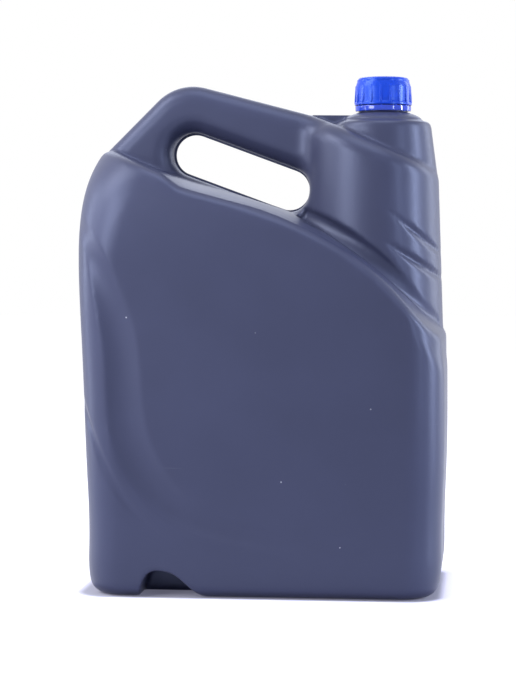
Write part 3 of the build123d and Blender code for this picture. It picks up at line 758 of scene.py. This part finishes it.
def ring_mesh(shape):
    """Tamper ring with rounded edges and the stubs of its broken bridges."""
    outer = (RING_HIGH.x - RING_LOW.x) / 2
    low, high = RING_LOW.z, RING_HIGH.z
    inner = shape.neck_radius + 0.45 * MM
    bm = bmesh.new()
    spun(bm, [(inner, low + 0.6 * MM), (inner + 0.8 * MM, low), (outer - 0.6 * MM, low),
              (outer - 0.2 * MM, low + 0.3 * MM), (outer - 0.1 * MM, low + 1.0 * MM),
              (outer, high - 0.7 * MM), (outer - 0.15 * MM, high - 0.2 * MM), (outer - 0.5 * MM, high),
              (outer - 1.2 * MM, high), (outer - 1.3 * MM, low + 2.4 * MM),
              (inner, low + 2.4 * MM)], CAP_STEPS)
    stub = bmesh.ops.create_cube(bm, size=1.0)["verts"]
    bmesh.ops.scale(bm, vec=(0.7 * MM, 1.1 * MM, 1.0 * MM), verts=stub)
    bmesh.ops.translate(bm, vec=(NECK_X + outer - 0.62 * MM, 0, high - 0.15 * MM), verts=stub)
    piece = list({f for v in stub for f in v.link_faces})
    bmesh.ops.spin(bm, geom=piece, cent=(NECK_X, 0, 0), axis=(0, 0, 1), dvec=(0, 0, 0), angle=2 * math.pi,
                   steps=STUB_COUNT, use_duplicate=True, use_merge=False)
    bmesh.ops.delete(bm, geom=[f for f in piece if f.is_valid], context="FACES")
    bmesh.ops.recalc_face_normals(bm, faces=bm.faces)
    return mesh_from("tamper_band", bm)


class JUG_OT_shell(bpy.types.Operator):
    """Build the blown shell with its neck, the seam in its grip and the web beside its collar"""

    bl_idname = "jug.shell"
    bl_label = "Blown shell"

    def execute(self, context):
        shape, looks = context.scene.jug_shape, context.scene.jug_looks
        plastic = shell_material(looks)
        skin = new_object("jug_shell", skin_mesh(shape))
        dress(skin, plastic, "jug")
        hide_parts("jug_body")
        for mesh in (neck_mesh(shape), seam_mesh(shape), web_mesh(shape)):
            dress(new_object(mesh.name, mesh), plastic, "jug")
        return {"FINISHED"}


class JUG_OT_cap(bpy.types.Operator):
    """Build the ribbed screw cap and finish its liner"""

    bl_idname = "jug.cap"
    bl_label = "Screw cap"

    def execute(self, context):
        shape, looks = context.scene.jug_shape, context.scene.jug_looks
        cap = new_object("cap_shell", cap_mesh(shape))
        satin = cap_material("cap_plastic", tuple(looks.cap_colour), looks.cap_roughness, CAP_DRIFT,
                             tuple(looks.cap_sheen))
        dress(cap, satin, "cap")
        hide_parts("screw_cap")
        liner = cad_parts["cap_liner"]
        liner.data.materials.clear()
        liner.data.materials.append(liner_material(looks))
        return {"FINISHED"}


class JUG_OT_ring(bpy.types.Operator):
    """Build the tamper ring on the neck"""

    bl_idname = "jug.ring"
    bl_label = "Tamper ring"

    def execute(self, context):
        shape, looks = context.scene.jug_shape, context.scene.jug_looks
        ring = new_object("tamper_band", ring_mesh(shape))
        gloss = cap_material("ring_plastic", tuple(looks.cap_colour), looks.ring_roughness, RING_DRIFT,
                             NEUTRAL)
        gloss.node_tree.nodes["Principled BSDF"].inputs["Specular IOR Level"].default_value = RING_SPECULAR
        dress(ring, gloss, "jug")
        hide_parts("tamper_ring")
        return {"FINISHED"}


def seen_white(tree, place):
    """Mask of the rays that see the white surround: the camera's, mirrored ones and ones through glass."""
    x, y = place
    rays = put(tree, "ShaderNodeLightPath", place).outputs
    first = calc(tree, "MAXIMUM", (x + 200, y), rays["Is Camera Ray"], rays["Is Glossy Ray"])
    return calc(tree, "MAXIMUM", (x + 400, y), first, rays["Is Transmission Ray"])


def floor_material(studio):
    """Floor that is white to the camera but for a painted lilac shadow round the jug's foot, and keeps the
    real shadow as well.
    """
    material = bpy.data.materials.new("studio_floor")
    material.use_nodes = True
    tree = material.node_tree
    tree.nodes.clear()
    out = put(tree, "ShaderNodeOutputMaterial", (600, 0))
    matt = put(tree, "ShaderNodeBsdfDiffuse", (0, 200), Color=FLOOR_COLOUR)
    glow = put(tree, "ShaderNodeEmission", (0, 0), Strength=1.0)
    where = put(tree, "ShaderNodeTexCoord", (-1400, 0))
    # Painted shadow round the foot: the distance from the jug's rounded footprint sets how much of the
    # floor's white glow is taken away
    corner = studio.foot_corner
    steps = (("ABSOLUTE", (0, 0, 0)), ("SUBTRACT", (JUG_HIGH.x - corner, JUG_HIGH.y - corner, 0)),
             ("MAXIMUM", (0, 0, 0)), ("LENGTH", (0, 0, 0)))
    line = where.outputs["Object"]
    for place, (kind, value) in enumerate(steps):
        away = put(tree, "ShaderNodeVectorMath", (-1200 + 200 * place, 0))
        away.operation = kind
        away.inputs[1].default_value = value
        tree.links.new(line, away.inputs[0])
        line = away.outputs[0]
    spread = remap(tree, away.outputs["Value"], (-400, 0), From_Min=corner - PAINTED_SHADOW_IN,
                   From_Max=corner + PAINTED_SHADOW_OUT)
    # Painted shadow colours: a dim bluish core at the foot, a lilac edge, then plain white further out
    white = put(tree, "ShaderNodeValToRGB", (-250, 0))
    white.color_ramp.interpolation = "EASE"
    painted_shadow_core = studio.floor_glow
    white.color_ramp.elements[0].color = (painted_shadow_core, painted_shadow_core, painted_shadow_core * PAINTED_SHADOW_BLUE, 1.0)
    white.color_ramp.elements.new(0.5).color = PAINTED_SHADOW_EDGE
    white.color_ramp.elements[2].color = (1.0, 1.0, 1.0, 1.0)
    tree.links.new(spread.outputs["Result"], white.inputs["Fac"])
    tree.links.new(white.outputs["Color"], glow.inputs["Color"])
    both = put(tree, "ShaderNodeAddShader", (200, 0))
    pick = put(tree, "ShaderNodeMixShader", (400, 0))
    tree.links.new(matt.outputs[0], both.inputs[0])
    tree.links.new(glow.outputs[0], both.inputs[1])
    tree.links.new(seen_white(tree, (-400, 500)), pick.inputs[0])
    tree.links.new(matt.outputs[0], pick.inputs[1])
    tree.links.new(both.outputs[0], pick.inputs[2])
    tree.links.new(pick.outputs[0], out.inputs["Surface"])
    return material


def white_world(studio):
    """Surround: white to the camera and to gloss, at a plain level as light."""
    world = bpy.data.worlds.new("studio_surround")
    bpy.context.scene.world = world
    world.use_nodes = True
    tree = world.node_tree
    tree.nodes.clear()
    out = put(tree, "ShaderNodeOutputWorld", (600, 0))
    fill = put(tree, "ShaderNodeBackground", (0, 200), Color=(0.97, 0.97, 1.0, 1.0),
               Strength=studio.world_level)
    white = put(tree, "ShaderNodeBackground", (0, 0), Color=(1.0, 1.0, 1.0, 1.0), Strength=1.0)
    pick = put(tree, "ShaderNodeMixShader", (400, 0))
    tree.links.new(seen_white(tree, (-400, 500)), pick.inputs[0])
    tree.links.new(fill.outputs[0], pick.inputs[1])
    tree.links.new(white.outputs[0], pick.inputs[2])
    tree.links.new(pick.outputs[0], out.inputs["Surface"])


def softbox(name, place, size, watts, tint):
    """Rectangular studio light that aims at the jug's middle."""
    light = bpy.data.lights.new(name, "AREA")
    light.shape = "RECTANGLE"
    light.size, light.size_y = size
    light.energy = watts
    light.color = tint
    lamp = bpy.data.objects.new(name, light)
    lamp.location = place
    lamp.rotation_euler = (Vector(MIDDLE) - Vector(place)).to_track_quat("-Z", "Y").to_euler()
    bpy.context.scene.collection.objects.link(lamp)


class JUG_OT_studio(bpy.types.Operator):
    """Build the floor, the lights and the camera"""

    bl_idname = "jug.studio"
    bl_label = "Studio"

    def execute(self, context):
        scene = context.scene
        studio = scene.jug_studio
        bm = bmesh.new()
        bmesh.ops.create_grid(bm, x_segments=8, y_segments=8, size=FLOOR_HALF)
        floor = new_object("studio_floor", mesh_from("studio_floor", bm))
        floor.data.materials.append(floor_material(studio))
        white_world(studio)
        for lamp in LAMPS:
            softbox(*lamp)
        turn = studio.camera_turn
        aim = Vector(studio.aim)
        away = studio.camera_distance
        spot = Vector((aim.x + math.sin(turn) * away, -math.cos(turn) * away, studio.camera_height))
        lens = bpy.data.cameras.new("studio_camera")
        lens.lens = studio.lens
        lens.sensor_width = 36.0
        camera = bpy.data.objects.new("studio_camera", lens)
        camera.location = spot
        camera.rotation_euler = (aim - spot).to_track_quat("-Z", "Y").to_euler()
        scene.collection.objects.link(camera)
        scene.camera = camera
        scene.view_settings.view_transform = "Standard"
        return {"FINISHED"}


class JUG_PT_panel(bpy.types.Panel):
    """Lists the jug's steps and settings"""

    bl_idname = "JUG_PT_panel"
    bl_label = "Fluid jug"
    bl_space_type = "VIEW_3D"
    bl_region_type = "UI"
    bl_category = "Jug"

    def draw(self, context):
        layout = self.layout
        for step in STEPS:
            layout.operator(step.bl_idname)
        for group in (context.scene.jug_shape, context.scene.jug_looks, context.scene.jug_studio):
            box = layout.box()
            for name in group.__annotations__:
                box.prop(group, name)


STEPS = (JUG_OT_shell, JUG_OT_cap, JUG_OT_ring, JUG_OT_studio)
GROUPS = (("jug_shape", JugShape), ("jug_looks", JugLooks), ("jug_studio", JugStudio))


def register():
    """Register the settings, the steps and the panel."""
    for name, group in GROUPS:
        bpy.utils.register_class(group)
        setattr(bpy.types.Scene, name, bpy.props.PointerProperty(type=group))
    for step in STEPS:
        bpy.utils.register_class(step)
    bpy.utils.register_class(JUG_PT_panel)


def unregister():
    """Take everything out again."""
    bpy.utils.unregister_class(JUG_PT_panel)
    for step in reversed(STEPS):
        bpy.utils.unregister_class(step)
    for name, group in reversed(GROUPS):
        delattr(bpy.types.Scene, name)
        bpy.utils.unregister_class(group)


def main():
    """Run the steps in order."""
    register()
    bpy.ops.jug.shell()
    bpy.ops.jug.cap()
    bpy.ops.jug.ring()
    bpy.ops.jug.studio()


if __name__ == "__main__":
    main()
